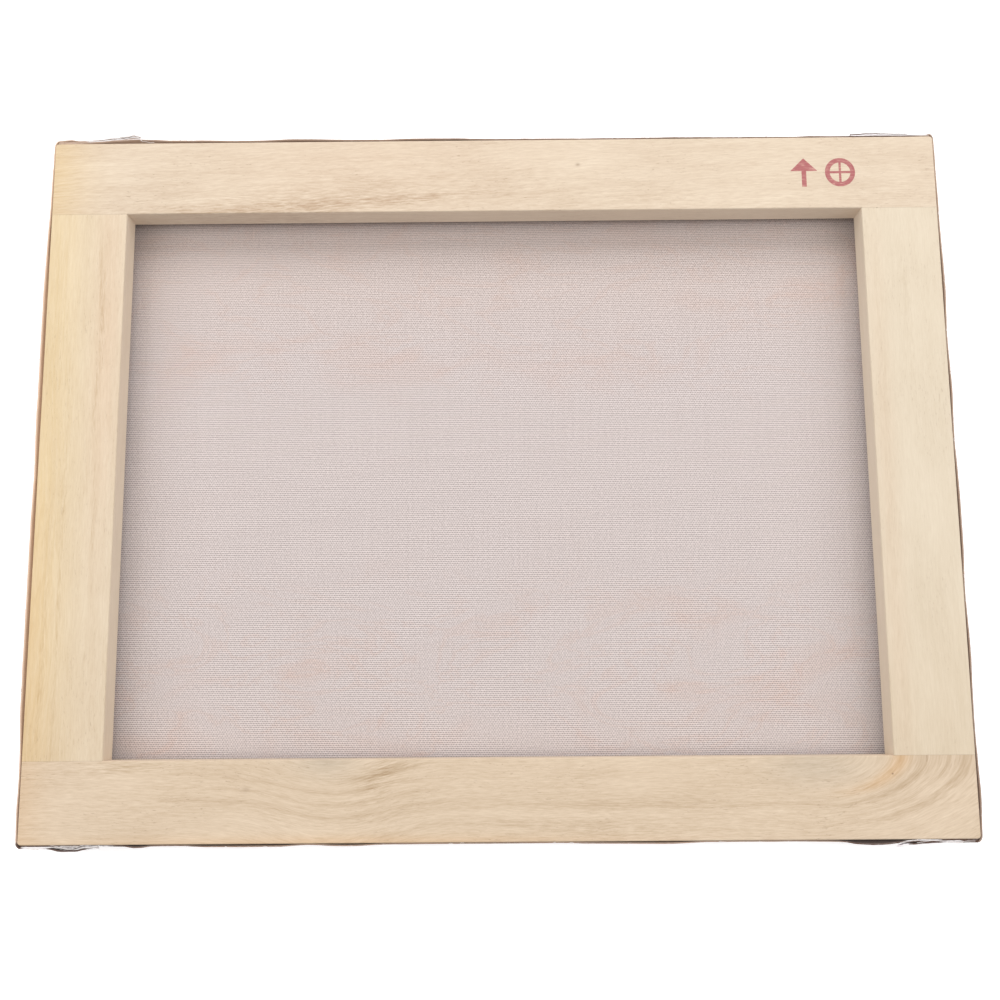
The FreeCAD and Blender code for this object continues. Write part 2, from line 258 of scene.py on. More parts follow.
def wood(name, along, centre, tone, deep, bands, lean=0.0, branch=0.0, dips=(), turn=None,
         rings=(), smudges=(), tints=(), flecks=0.4, knots=(), grain=1.0, seed=0.0):
    """Pale planed wood: uneven growth bands, fibres, pores, and the marks of one bar.

    tone and deep are its pale and its dark colour, bands is (width, strength). Growth lines
    are counted down from the height branch. rings are single growth lines that show over
    part of the bar: (which line, breadth, place, reach, strength, tint or None). smudges are
    streaky darker places: (place, reach, slope, strength). tints are coloured ones: (place,
    reach, slope, tint, strength). knots are small dark eyes: (place, reach, strength).
    """
    graph = Graph(name)
    a, c, d = board_place(graph, along, centre)
    far_a = graph.total(a, seed * SEED_STEP)
    warp = graph.swing((far_a, c, d), WARP, 3.0, 0.55)
    leant = graph.minus(c, graph.times(a, lean))
    line = graph.minus(branch, graph.total(leant, graph.times(warp, WARP_HEIGHT)))
    line = growth_line(graph, a, line, dips, turn)
    deep_line = graph.total(line, graph.times(d, RING_TILT))

    width, strength = bands
    broad = graph.swing((deep_line, far_a), (1 / width, BROAD_ALONG), 3.0, 0.55, layer=seed)
    narrow = graph.patches((deep_line, far_a), (NARROW_IN_BROAD / width, NARROW_ALONG), 2.0,
                           layer=seed + 9.0)
    narrow = graph.minus(graph.ramp(narrow, 0.42, 0.7), 0.35)
    fibres = graph.swing((far_a, line, d), FIBRES, 4.0, 0.65)
    hairs = graph.swing((far_a, line, d), HAIRS, 3.0, 0.65)
    cloudy = graph.swing((far_a, c, d), CLOUDS)
    pore = graph.patches((far_a, line, d), PORES, 2.0)
    pore = graph.times(graph.ramp(pore, 0.63, 0.74), graph.ramp(cloudy, -0.14, 0.12))

    amount = graph.total(
        graph.times(broad, strength * 1.6), graph.times(narrow, strength * 0.5),
        graph.times(fibres, 0.45 * grain), graph.times(hairs, 0.8 * grain),
        graph.times(cloudy, 0.4), 0.3)
    streaks = graph.total(graph.times(fibres, 2.6), graph.times(hairs, 3.0), 0.6)
    streaks = graph.math("MAXIMUM", streaks, -0.2)
    rough = graph.total(graph.times(hairs, 1.2), graph.times(fibres, 1.2), 1.0)
    rough = graph.math("MAXIMUM", rough, 0.2)
    glows = []
    for number, breadth, place, reach, share, tint in rings:
        crest = graph.bell(graph.math("DIVIDE", graph.minus(line, number), breadth))
        shown = graph.bell(graph.math("DIVIDE", graph.minus(a, place), reach))
        crest = graph.times(graph.times(graph.times(crest, shown), rough), share)
        if tint:
            glows.append((crest, tint))
        else:
            amount = graph.total(amount, crest)
    for place, reach, slope, share in smudges:
        hill = graph.times(hump(graph, a, c, place, reach, slope), share)
        amount = graph.total(amount, graph.times(hill, streaks))
    amount = graph.math("ADD", amount, 0.0, clamp=True)
    color = graph.mix(amount, tone, deep)
    for crest, tint in glows:
        color = graph.mix(crest, color, tint, "MULTIPLY")
    grainy = graph.total(graph.times(fibres, 0.8), 1.0)
    for place, reach, slope, tint, share in tints:
        hill = graph.times(hump(graph, a, c, place, reach, slope), share)
        color = graph.mix(graph.times(hill, grainy), color, tint, "MULTIPLY")
    color = graph.mix(graph.times(pore, flecks), color, PORE_BROWN)
    for place, reach, share in knots:
        eye = graph.times(hump(graph, a, c, place, reach), share)
        color = graph.mix(eye, color, KNOT_BROWN)
    seam = seam_lines(graph)
    color = graph.mix(seam, color, SEAM_BROWN)

    # Painted light: the window walls and other upright faces are mixed towards a paler colour by
    # their facing, a little paler than the face.
    facing = graph.add("SeparateXYZ", {0: graph.add("NewGeometry").outputs["Normal"]}).outputs
    upright = graph.minus(1.0, graph.math("ABSOLUTE", facing[2]))
    color = graph.mix(graph.times(graph.ramp(upright, 0.5, 0.9), 0.3), color, PAINTED_WALL_LIGHT)

    height = graph.total(
        graph.times(fibres, 0.5), graph.times(hairs, 0.6), graph.times(broad, 0.3),
        graph.times(pore, -0.9), graph.times(seam, -2.5))
    roughness = graph.total(graph.times(fibres, 0.3), 0.62)
    return graph.surface(color, roughness, height, relief=0.05, Specular_IOR_Level=0.22)


WARP_PITCH = 0.57           # from one thread of the cloth to the next
WEFT_PITCH = 0.89
PAINTED_TOP_SHADE = linear(254, 250, 246)     # painted shade, warmed by the wood, over the cloth in its upper part under the top rail


def stain_and_shade_color(graph, light, dark):
    """The colour of the stained edge of the cloth, from light to dark by place; its darkest, at
    the bottom corner folds, is painted shade.
    """
    return graph.mix(graph.attribute("shade"), light, dark)


def woven(name, thread, hollow, peach, light_stain, dark_stain_and_shade, pale):
    """Plain weave in the cloth's own flat coordinates, paler where it is folded and frayed, with
    painted shade under the top rail.
    """
    graph = Graph(name)
    flat = graph.add("UVMap", uv_map="flat_cloth").outputs[0]
    parts = graph.add("SeparateXYZ", {0: flat}).outputs
    u = graph.times(parts[0], 1 / MM)
    v = graph.times(parts[1], 1 / MM)
    spot = (u, v)
    drift = graph.times(graph.swing(spot, (0.03, 0.03), 2.0, layer=3.0), 0.5)
    u_thread = graph.total(u, drift)
    v_thread = graph.total(v, graph.times(drift, 0.7))

    over = graph.times(
        graph.wave(u_thread, 2 * WARP_PITCH), graph.wave(v_thread, 2 * WEFT_PITCH))
    rows = graph.wave(v_thread, WEFT_PITCH, math.pi / 2)
    columns = graph.wave(u_thread, WARP_PITCH, math.pi / 2)
    slubs = graph.total(
        graph.swing(spot, (1.9, 0.02), 2.0, layer=2.0),
        graph.swing(spot, (0.02, 1.3), 2.0, layer=1.0))
    specks = graph.swing(spot, (1.1, 1.3), 2.0, 0.7, layer=6.0)

    clear = graph.minus(1.15, graph.times(graph.ramp(v, 20.0, WINDOW_Y), 0.4))
    ribs = graph.total(graph.times(over, 0.28), graph.times(rows, 0.35), graph.times(columns, 0.1))
    weave = graph.total(
        graph.times(ribs, clear), graph.times(slubs, 0.18), graph.times(specks, 1.2))
    weave = graph.math("ADD", weave, 0.5, clamp=True)
    color = graph.mix(weave, hollow, thread)

    # Faint blots and wisps, mostly in the lower and the upper part.
    cloud = graph.patches(spot, (0.016, 0.028), 5.0, 0.6, 0.6, layer=5.0)
    wisp = graph.patches(spot, (0.02, 0.045), 4.0, 0.55, 1.2, layer=12.0)
    wisp = graph.math("ABSOLUTE", graph.minus(wisp, 0.5))
    wisp = graph.minus(1.0, graph.ramp(wisp, 0.0, 0.035))
    low = graph.ramp(v, -30.0, -70.0)
    high = graph.ramp(v, 25.0, 65.0)
    mottled = graph.total(
        graph.times(graph.ramp(cloud, 0.5, 0.66), 0.22), graph.times(wisp, 0.17))
    mottled = graph.times(mottled, graph.total(low, graph.times(high, 0.8), 0.12))
    color = graph.mix(mottled, color, peach, "MULTIPLY")
    # Painted shade: the cloth darkens and warms towards the top rail, whose shadow falls on it.
    color = graph.mix(graph.ramp(v, 40.0, WINDOW_Y), color, PAINTED_TOP_SHADE, "MULTIPLY")

    wander = graph.patches(spot, (0.12, 0.12), layer=8.0)
    stained = graph.total(graph.attribute("stained"), graph.times(wander, 0.8))
    stained = graph.times(graph.ramp(stained, 0.55, 1.05), 0.88)
    # The stain's dark end also carries painted shade at the bottom corner folds.
    color = graph.mix(stained, color, stain_and_shade_color(graph, light_stain, dark_stain_and_shade))
    streaks = graph.patches(spot, (0.25, 1.6), layer=4.0)
    bleached = graph.times(
        graph.attribute("pale"), graph.total(graph.ramp(streaks, 0.3, 0.6), 0.35))
    color = graph.mix(graph.math("MINIMUM", bleached, 1.0), color, pale)
    height = graph.total(
        graph.times(over, 0.5), graph.times(rows, 0.3), graph.times(columns, 0.25))
    return graph.surface(color, 0.85, height, relief=0.06,
                         Specular_IOR_Level=0.15, Sheen_Weight=0.15)


def cut_edge(name, light, dark, frayed):
    """The cloth's cut edge: stained, with painted shade at the bottom corner folds, and white
    where threads have come loose.
    """
    graph = Graph(name)
    fine = graph.patches(graph.place(), (0.7, 0.7, 0.7), 3.0, 0.6)
    loose = graph.total(graph.attribute("worn"), graph.times(fine, 0.9))
    color = graph.mix(graph.ramp(loose, 0.5, 1.2), stain_and_shade_color(graph, light, dark), frayed)
    return graph.surface(color, 0.85, fine, relief=0.08, Specular_IOR_Level=0.15)


def thread_end(name, light, dark):
    """Loose cotton ends, uneven in tone."""
    graph = Graph(name)
    tangle = graph.patches(graph.place(), (0.9, 0.9, 0.9), 2.0)
    return graph.surface(graph.mix(tangle, light, dark), 0.8, tangle, relief=0.03)


def stamped_ink(name, ink, thin_ink):
    """Thin red-brown ink: the grain shows through where the stamp pressed lightly."""
    graph = Graph(name)
    spot = graph.place()[:2]
    grain = graph.patches(spot, (0.2, 2.6), 4.0, 0.6)
    press = graph.patches(spot, (0.3, 0.3), layer=4.0)
    bare = graph.ramp(graph.total(grain, graph.times(press, 0.5)), 0.72, 1.02)
    color = graph.mix(graph.times(bare, 0.55), ink, thin_ink)
    roughness = graph.total(graph.times(grain, 0.2), 0.6)
    return graph.surface(color, roughness, grain, relief=0.04, Specular_IOR_Level=0.25)


def staple_wire(name, bright, scuffed):
    """Galvanised wire: drawn lines along it, dulled and scuffed where the hammer struck."""
    graph = Graph(name)
    place = graph.place()
    drawn = graph.patches(place, (0.3, 0.3, 5.2))
    dull = graph.patches(place, (0.9, 0.9, 0.9), 4.0, 0.6)
    color = graph.mix(graph.ramp(dull, 0.35, 0.7), bright, scuffed)
    roughness = graph.total(graph.times(dull, 0.35), 0.2)
    return graph.surface(color, roughness, drawn, relief=0.02, Metallic=1.0)


def paint(node, material):
    """Puts a material on a CAD node or a piece in place of what it had."""
    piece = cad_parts[node] if isinstance(node, str) else node
    piece.data.materials.clear()
    piece.data.materials.append(material)


# ---------------------------------------------------------------- the cloth

THICKNESS = 0.44            # of the cloth as it is seen
RESTING = 0.3               # from the wood to the middle of the cloth where it lies flat
LAYER_GAP = 0.47            # from one folded layer to the next
CORNER = 1.5                # radius of the wood's outer corners
ARRIS = 0.9                 # radius of the cloth's turn round the rim
PINNED = 0.5                # share of the turned-up side that the staples hold flat
SHORT_STEPS = 84            # how finely the cloth is divided along a short side,
LONG_STEPS = 110            # a long side,
FOLD_STEPS = 26             # a layer of a fold
TURN_STEPS = 4              # and a turn
RIM_ANGLES = (0, 30, 60, 90)
SIDE_LEVELS = 14            # from the rim up to the cut edge
LOOKS = ("pale", "worn", "stained", "shade")    # the attributes that its materials read
STAPLES = {"top": 9, "bottom": 9, "left": 7, "right": 7}
STAPLE_WIDTH = 10.0
PUFF = 0.22                 # how far the cloth stands out midway between two staples
STAPLED_GAP = 0.13          # added between the folded layers at the height of the staples
STAPLED_SHARE = 0.53        # that height, as a share of the turned-up side
STAPLED_REACH = 0.22        # share of the side over which the layers part
FOLD_SLANT = 0.42           # below 1, a fold's free edge runs steeper near the cut edge
FOLD_START = 1.0            # length of a fold where it begins at the rim
FOLD_TAIL = 0.2             # from the corner's turn to where the inner layer turns back
BELLY_POWER = 1.3           # above 1, the cloth bellies out mostly near its cut edge
EDGE_WANDER = 0.35          # how far the cut edge wanders up and down, slowly
EDGE_JITTER = 0.2           # and quickly
SLACK = 0.12                # small unevenness of the turned-up side
FLUTTER = 0.16              # and of the loose layers of a fold
RIPPLES_ALONG = 0.09        # how often that unevenness changes per millimetre along a side
PALE_FROM = 0.3             # share of the side from which a fold can be bleached,
PALE_OVER = 0.5             # and over which it grows
STAINED_FROM = 0.45         # the same for the stain
STAINED_OVER = 0.4

# How far the cut edge stands off the wood, to its outer surface, at places along each side.
STANDOFF = {
    "left": [(-157, 0.9), (-146, 1.2), (-130, 0.9), (-98, 2.0), (-60, 2.1), (-20, 2.1),
             (0, 1.7), (20, 2.1), (84, 2.1), (100, 1.8), (133, 0.9), (157, 0.6)],
    "right": [(-157, 0.8), (-143, 1.4), (-110, 0.7), (-78, 1.3), (-55, 0.7), (-28, 1.4),
              (-10, 1.4), (15, 0.7), (38, 1.3), (62, 0.7), (87, 1.4), (120, 0.8), (157, 0.6)],
    "top": [(-203, 0.55), (-193, 0.6), (-185, 1.1), (-175, 1.9), (-168, 2.6), (-164, 2.4),
            (-160, 2.0), (-150, 1.4), (-140, 1.5), (-118, 1.0), (-92, 1.6), (-60, 1.0), (-30, 1.4),
            (5, 0.85), (49, 0.7), (90, 0.85), (120, 0.65), (160, 0.7), (203, 0.55)],
    "bottom": [(-203, 0.55), (-180, 0.6), (-166, 0.65), (-160, 0.7), (-154, 1.5), (-147, 0.7),
               (-137, 0.65), (-122, 1.2), (-108, 1.3), (-94, 1.2), (-81, 0.6), (-65, 1.2),
               (-45, 0.6), (26, 0.55), (42, 0.9), (72, 1.2), (91, 0.55), (122, 0.55),
               (137, 0.7), (146, 0.9), (153, 1.9), (158, 2.3), (164, 2.2), (168, 1.9),
               (173, 0.9), (178, 0.6), (203, 0.55)],
}
# How dark the stain along the cut edge is, from 0 to 1, and how white its worn threads are.
# At the bottom corner folds it is 1: painted shade of the folds and of the cloth bellied out
# there.
SHADE = {
    "left": [(-157, 0.3), (-100, 0.12), (0, 0.0), (157, 0.1)],
    "right": [(-157, 0.66), (0, 0.55), (157, 0.45)],
    "top": [(-203, 0.35), (-190, 0.5), (-165, 0.5), (-150, 0.5), (-60, 0.6), (0, 0.7), (60, 0.75),
            (160, 0.78), (169, 1.0), (195, 1.0), (203, 0.6)],
    "bottom": [(-203, 1.0), (-160, 1.0), (-150, 0.85), (-85, 0.66), (-40, 0.62), (0, 0.66),
               (60, 0.55), (140, 0.6), (150, 1.0), (203, 1.0)],
}
WORN = {
    "left": [(0, 0.1)],
    "right": [(0, 0.1)],
    "top": [(-172, 0.1), (-168, 0.7), (-164, 0.7), (-160, 0.1)],
    "bottom": [(-192, 0.1), (-187, 0.35), (-176, 0.3), (-170, 0.6), (-162, 0.1), (171, 0.1),
               (176, 0.8), (186, 0.8), (190, 0.1)],
}


class Fold:
    """The shape and the look of one corner fold's two loose layers.

    reach is the length of its cut edge. outer and middle give the distance of each layer's
    cut edge off the wood, to its outer surface, at distances from the corner; pale gives how
    bleached the cloth is there, worn_outer and worn_middle how white each layer's edge is.
    """

    def __init__(self, reach, outer, middle, pale, worn_outer, worn_middle):
        self.reach = reach
        self.outer = outer
        self.middle = middle
        self.pale = pale
        self.worn_outer = worn_outer
        self.worn_middle = worn_middle


FOLDS = {
    ("top", "left"): Fold(
        39.5,
        outer=[(1.5, 1.7), (7, 2.2), (12, 1.4), (20, 2.3), (27, 3.1), (33.5, 4.1), (36.5, 4.6),
               (39.5, 3.7)],
        middle=[(1.5, 1.0), (12, 1.05), (20, 1.5), (30, 2.4), (36, 3.4), (39.5, 3.0)],
        pale=[(12, 0.0), (17, 0.15)],
        worn_outer=[(12, 0.0), (16, 0.6), (36, 0.7), (38, 0.5)],
        worn_middle=[(13, 0.0), (18, 0.7), (38, 0.8)]),
    ("top", "right"): Fold(
        38.0,
        outer=[(1.5, 1.4), (12, 1.4), (20, 1.7), (29, 2.0), (35, 1.8), (38, 1.5)],
        middle=[(1.5, 1.0), (20, 1.1), (30, 1.2), (38, 1.1)],
        pale=[(1.5, 0.4), (4, 1.0)],
        worn_outer=[(1.5, 0.2), (3.5, 1.0), (10, 1.0), (13, 0.0)],
        worn_middle=[(1.5, 0.2), (4, 0.95)]),
    ("bottom", "left"): Fold(
        35.0,
        outer=[(1.5, 1.4), (9, 1.5), (14, 1.8), (18, 2.7), (25, 2.7), (29, 2.0), (35, 1.5)],
        middle=[(1.5, 1.0), (14, 1.05), (20, 1.2), (26, 1.4), (32, 1.1)],
        pale=[(1.5, 0.3), (4, 1.0), (10, 1.0), (14, 0.05), (29, 0.1), (33, 0.6)],
        worn_outer=[(1.5, 0.2), (4, 1.0), (11, 1.0), (15, 0.0), (28, 0.0), (31, 0.7)],
        worn_middle=[(1.5, 0.2), (4, 1.0), (11, 1.0), (16, 0.45), (31, 0.5)]),
    ("bottom", "right"): Fold(
        35.5,
        outer=[(1.5, 1.3), (6, 1.4), (10, 1.9), (13, 1.6), (18, 1.4), (24, 1.8), (29, 2.2),
               (32, 2.3), (34.5, 3.1), (36, 3.1)],
        middle=[(1.5, 1.0), (17, 1.05), (30, 1.1), (36, 1.2)],
        pale=[(7, 0.0), (9, 0.9), (16, 0.8), (18, 0.0), (30.0, 0.0), (31.0, 1.0)],
        worn_outer=[(7, 0.0), (9, 0.9), (15, 0.7), (18, 0.05), (30.0, 0.05), (31.0, 1.0)],
        worn_middle=[(7, 0.0), (9, 0.7), (16, 0.5), (18, 0.1), (31, 0.1), (33, 0.9)]),
}


def smooth(share):
    """0 below 0, 1 above 1, smooth between."""
    share = min(max(share, 0.0), 1.0)
    return share * share * (3 - 2 * share)


def read_off(points, place):
    """The value at a place of a smooth line through (place, value) points."""
    if place <= points[0][0]:
        return points[0][1]
    for (start, low), (end, high) in zip(points, points[1:]):
        if place <= end:
            return low + (high - low) * smooth((place - start) / (end - start))
    return points[-1][1]


def loosened(share):
    """How free the turned-up side is at a share of its height: 0 where it is pinned."""
    return smooth((share - PINNED) / (1 - PINNED)) ** BELLY_POWER


def standoff(side, place):
    """The cut edge's distance from the wood, to the cloth's outer surface."""
    return read_off(STANDOFF[side], place)


def outline(side, place):
    """How far the outermost layer stands off the wood at a place along a long side."""
    end = "left" if place < 0 else "right"
    distance = HALF_LENGTH - abs(place)
    if distance < FOLDS[side, end].reach:
        return read_off(FOLDS[side, end].outer, distance)
    return standoff(side, place)


def ripple(side, place, level, amount):
    """Small seeded unevenness, the same each time."""
    offset = {"left": 10.0, "right": 20.0, "top": 30.0, "bottom": 40.0}[side]
    return amount * noise.noise(Vector((place * RIPPLES_ALONG, level * 2.0, offset)))


def staple_row(side):
    """Where the first and the last staple of a side's row are, along the side."""
    low, high = box_mm(f"staples_{side}")
    axis = 0 if side in ("top", "bottom") else 1
    return low[axis] + STAPLE_WIDTH / 2, high[axis] - STAPLE_WIDTH / 2


STAPLE_ROWS = {side: staple_row(side) for side in STAPLES}


def between_staples(side, place):
    """0 at a staple of a side's row and past its ends, 1 midway between two."""
    first, last = STAPLE_ROWS[side]
    if not first < place < last:
        return 0.0
    turns = (place - first) / (last - first) * (STAPLES[side] - 1)
    return 0.5 - 0.5 * math.cos(2 * math.pi * turns)


class Level:
    """One height on the turned-up side of the cloth, from the rim up to the cut edge."""

    def __init__(self, height, outward, opened, share):
        self.height = height      # above the floor, before the cut edge's wander
        self.outward = outward    # middle of the cloth from the wood's face
        self.opened = opened      # 0 where a corner fold is nothing yet, 1 where it is full
        self.share = share        # 0 at the rim, 1 at the cut edge

    def z(self, side, place):
        wander = 0.0
        if self.share > 0:
            wander = ripple(side, place, 3, EDGE_WANDER) + ripple(side, place * 5, 5, EDGE_JITTER)
            wander *= self.share
        return self.height + wander

    def run(self, side, place):
        """The cloth's distance from the wood along a side."""
        edge = max(standoff(side, place) - THICKNESS / 2, RESTING)
        slack = max(ripple(side, place, self.share, SLACK), 0.0) * self.share
        slack += PUFF * between_staples(side, place) * math.sin(math.pi * self.share)
        return self.outward + (edge - RESTING) * loosened(self.share) + slack


def levels():
    """The panel's border, the turn round the rim, and the side up to the cut edge."""
    made = [Level(RESTING, -CORNER, 0.0, 0.0)]
    for angle in RIM_ANGLES:
        turned = math.radians(angle)
        outward = RESTING - ARRIS + ARRIS * math.sin(turned)
        height = RESTING + ARRIS - ARRIS * math.cos(turned)
        made.append(Level(height, outward, angle / 90 * 0.5, 0.0))
    low = made[-1].height
    for step in range(1, SIDE_LEVELS + 1):
        share = step / SIDE_LEVELS
        made.append(Level(low + (CUT_EDGE - low) * share, RESTING, 1.0, share))
    return made


def fold_points(level, side, end):
    """One corner fold on a long side, from the corner's outside in to the first layer.

    Gives (distance from the corner, outward, how pale, how worn) for the outer layer, the
    turn at the fold's free end, the layer beneath it coming back, and the turn at the corner.
    """
    fold = FOLDS[side, end]
    length = FOLD_START + (fold.reach - CORNER - FOLD_START) * level.share ** FOLD_SLANT
    reach = CORNER + level.opened * length
    sign = -1 if end == "left" else 1
    tail = CORNER + FOLD_TAIL * level.opened
    loose = loosened(level.share)
    parted = math.exp(-((level.share - STAPLED_SHARE) / STAPLED_REACH) ** 2)
    gap = (LAYER_GAP + STAPLED_GAP * parted) * level.opened

    def rise(table, number, distance, beneath):
        flat = RESTING + number * gap
        edge = read_off(table, distance) - THICKNESS / 2
        flutter = ripple(side, distance * 3 * sign, number + 7, FLUTTER) * loose
        lifted = flat + max(edge - flat, 0.0) * loose + flutter
        return max(lifted, beneath + gap)

    def base(distance):
        return level.run(side, sign * (HALF_LENGTH - distance))

    def middle(distance):
        return rise(fold.middle, 1, distance, base(distance))

    def outer(distance):
        return rise(fold.outer, 2, distance, middle(distance))

    high_up = smooth((level.share - PALE_FROM) / PALE_OVER)

    def look(distance, table):
        """How pale the cloth is and how worn its edge, at a distance from the corner."""
        return read_off(fold.pale, distance) * high_up, read_off(table, distance)

    points = []
    for step in range(FOLD_STEPS + 1):
        distance = CORNER + (reach - CORNER) * step / FOLD_STEPS
        points.append((distance, outer(distance), *look(distance, fold.worn_outer)))
    centre = (outer(reach) + middle(reach)) / 2
    radius = (outer(reach) - middle(reach)) / 2
    for step in range(1, TURN_STEPS):
        angle = math.pi * step / TURN_STEPS
        points.append((reach + LAYER_GAP / 2 * math.sin(angle),
                       centre + radius * math.cos(angle), *look(reach, fold.worn_outer)))
    for step in range(FOLD_STEPS + 1):
        distance = reach + (tail - reach) * step / FOLD_STEPS
        points.append((distance, middle(distance), *look(distance, fold.worn_middle)))
    centre = (middle(tail) + base(tail)) / 2
    radius = (middle(tail) - base(tail)) / 2
    for step in range(1, TURN_STEPS):
        angle = math.pi * step / TURN_STEPS
        points.append((tail - LAYER_GAP / 2 * math.sin(angle),
                       centre + radius * math.cos(angle), 0.0, 0.0))
    return points


def half_loop(level, short, long, turned):
    """A short side, its corner, and a long side with both folds, clockwise from the near side.

    Points are (x, y, z, flat u, flat v, how pale, how worn, how stained, how dark the stain and
    painted shade).
    turned rotates the half by half a turn.
    """
    points = []
    sign = -1 if turned else 1
    ends = ("right", "left") if turned else ("left", "right")
    short_reach = HALF_WIDTH - CORNER
    long_reach = HALF_LENGTH - CORNER

    stained = smooth((level.share - STAINED_FROM) / STAINED_OVER)

    def add(x, y, side, place, pale, worn):
        z = level.z(side, place)
        rise = z - RESTING if level.share or level.outward > -CORNER else 0.0
        if side in ("left", "right"):
            flat = (math.copysign(HALF_LENGTH + rise, x), y)
        else:
            flat = (x, math.copysign(HALF_WIDTH + rise, y))
        points.append((sign * x, sign * y, z, sign * flat[0], sign * flat[1],
                       pale, worn, stained, read_off(SHADE[side], place)))

    for step in range(SHORT_STEPS + 1):
        place = -short_reach + 2 * short_reach * step / SHORT_STEPS
        add(-HALF_LENGTH - level.run(short, sign * place), place, short, sign * place,
            0.0, read_off(WORN[short], sign * place))

    start = fold_points(level, long, ends[0])
    before = CORNER + level.run(short, sign * short_reach)
    after = CORNER + start[0][1]
    for step in range(1, TURN_STEPS):
        angle = math.pi / 2 * step / TURN_STEPS
        add(-long_reach - before * math.cos(angle), short_reach + after * math.sin(angle),
            short, sign * short_reach, 0.0, 0.0)
    for distance, outward, pale, worn in start:
        place = -HALF_LENGTH + distance
        add(place, HALF_WIDTH + outward, long, sign * place, pale, worn)
    for step in range(LONG_STEPS + 1):
        place = -long_reach + 2 * long_reach * step / LONG_STEPS
        add(place, HALF_WIDTH + level.run(long, sign * place), long, sign * place,
            0.0, read_off(WORN[long], sign * place))
    finish = fold_points(level, long, ends[1])
    for distance, outward, pale, worn in reversed(finish):
        place = HALF_LENGTH - distance
        add(place, HALF_WIDTH + outward, long, sign * place, pale, worn)
    before = CORNER + finish[0][1]
    other_short = "left" if turned else "right"
    after = CORNER + level.run(other_short, short_reach * sign)
    for step in range(1, TURN_STEPS):
        angle = math.pi / 2 * step / TURN_STEPS
        add(long_reach + after * math.sin(angle), short_reach + before * math.cos(angle),
            long, sign * HALF_LENGTH, 0.0, 0.0)
    return points


def cloth():
    """One cloth: a flat panel, a turn round the rim, and sides with folded corners."""
    mesh = bmesh.new()
    flat_cloth = mesh.loops.layers.uv.new("flat_cloth")
    marks = [mesh.verts.layers.float.new(name) for name in LOOKS]
    places = {}

    def vertex(point):
        made = mesh.verts.new(Vector(point[:3]) * MM)
        for layer, value in zip(marks, point[5:]):
            made[layer] = value
        places[made] = (point[3] * MM, point[4] * MM)
        return made

    def face(corners):
        made = mesh.faces.new(corners)
        made.smooth = True
        for loop in made.loops:
            loop[flat_cloth].uv = places[loop.vert]

    rows = []
    for level in levels():
        loop = half_loop(level, "left", "top", False) + half_loop(level, "right", "bottom", True)
        rows.append(loop)

    # The panel is a grid whose border points are the first row's own points.
    columns = [-1 + 2 * i / LONG_STEPS for i in range(LONG_STEPS + 1)]
    lines = [-1 + 2 * j / SHORT_STEPS for j in range(SHORT_STEPS + 1)]
    reach_x = HALF_LENGTH - CORNER
    reach_y = HALF_WIDTH - CORNER
    panel = {}
    for i, column in enumerate(columns):
        for j, line in enumerate(lines):
            x = column * reach_x
            y = line * reach_y
            panel[i, j] = vertex((x, y, RESTING, x, y) + (0.0,) * len(LOOKS))
    for i in range(LONG_STEPS):
        for j in range(SHORT_STEPS):
            face((panel[i, j], panel[i + 1, j], panel[i + 1, j + 1], panel[i, j + 1]))

    def panel_vertex(point):
        i = round((point[0] / reach_x + 1) / 2 * LONG_STEPS)
        j = round((point[1] / reach_y + 1) / 2 * SHORT_STEPS)
        return panel[min(max(i, 0), LONG_STEPS), min(max(j, 0), SHORT_STEPS)]

    inner = [panel_vertex(point) for point in rows[0]]
    for row in rows[1:]:
        outer = [vertex(point) for point in row]
        count = len(row)
        for k in range(count):
            following = (k + 1) % count
            if inner[k] is inner[following]:
                face((inner[k], outer[following], outer[k]))
            else:
                face((inner[k], inner[following], outer[following], outer[k]))
        inner = outer
    bmesh.ops.recalc_face_normals(mesh, faces=mesh.faces)

    data = bpy.data.meshes.new("screen_mesh")
    mesh.to_mesh(data)
    mesh.free()
    piece = bpy.data.objects.new("screen_mesh", data)
    bpy.context.scene.collection.objects.link(piece)
    body = piece.modifiers.new("thickness", "SOLIDIFY")
    body.thickness = THICKNESS * MM
    body.offset = 0.0
    body.use_even_offset = False
    body.material_offset_rim = 1
    return piece


STRAND_STEPS = 9
STRAND_BEND = 0.4           # most that a strand bows away from the edge
STRAND_RISE = 0.15          # over the cut edge
STRAND_RADIUS = 0.1
LONG_STRAND = (4, 12)       # shortest and longest
LONG_DROP = (-0.4, 0.2)     # how far the end lies under or over the start
SHORT_STRAND = (0.8, 2.0)
SHORT_DROP = (-0.4, 0.3)
SHORT_INSIDE = -0.2         # from the cloth's outer surface
WAVER = 0.1                 # small unevenness of a strand away from the wood
BOB = 0.12                  # and in height
SHORT_ENDS = 8              # on each side

# Long strands at the folds: side, middle place, reach to either side, how many, and how far
# off the cloth's outer surface, least and most.
TANGLES = (
    ("bottom", -181.0, 9.0, 7, (-1.9, -0.6)),
    ("top", -176.0, 9.0, 8, (-1.0, 0.0)),
    ("bottom", 180.0, 5.0, 2, (-1.9, -1.4)),
    ("bottom", 191.0, 3.0, 3, (-0.9, 0.1)),
    ("bottom", -200.0, 3.0, 2, (-0.8, 0.1)),
    ("top", -165.5, 1.0, 4, (-1.6, -0.6)),
)


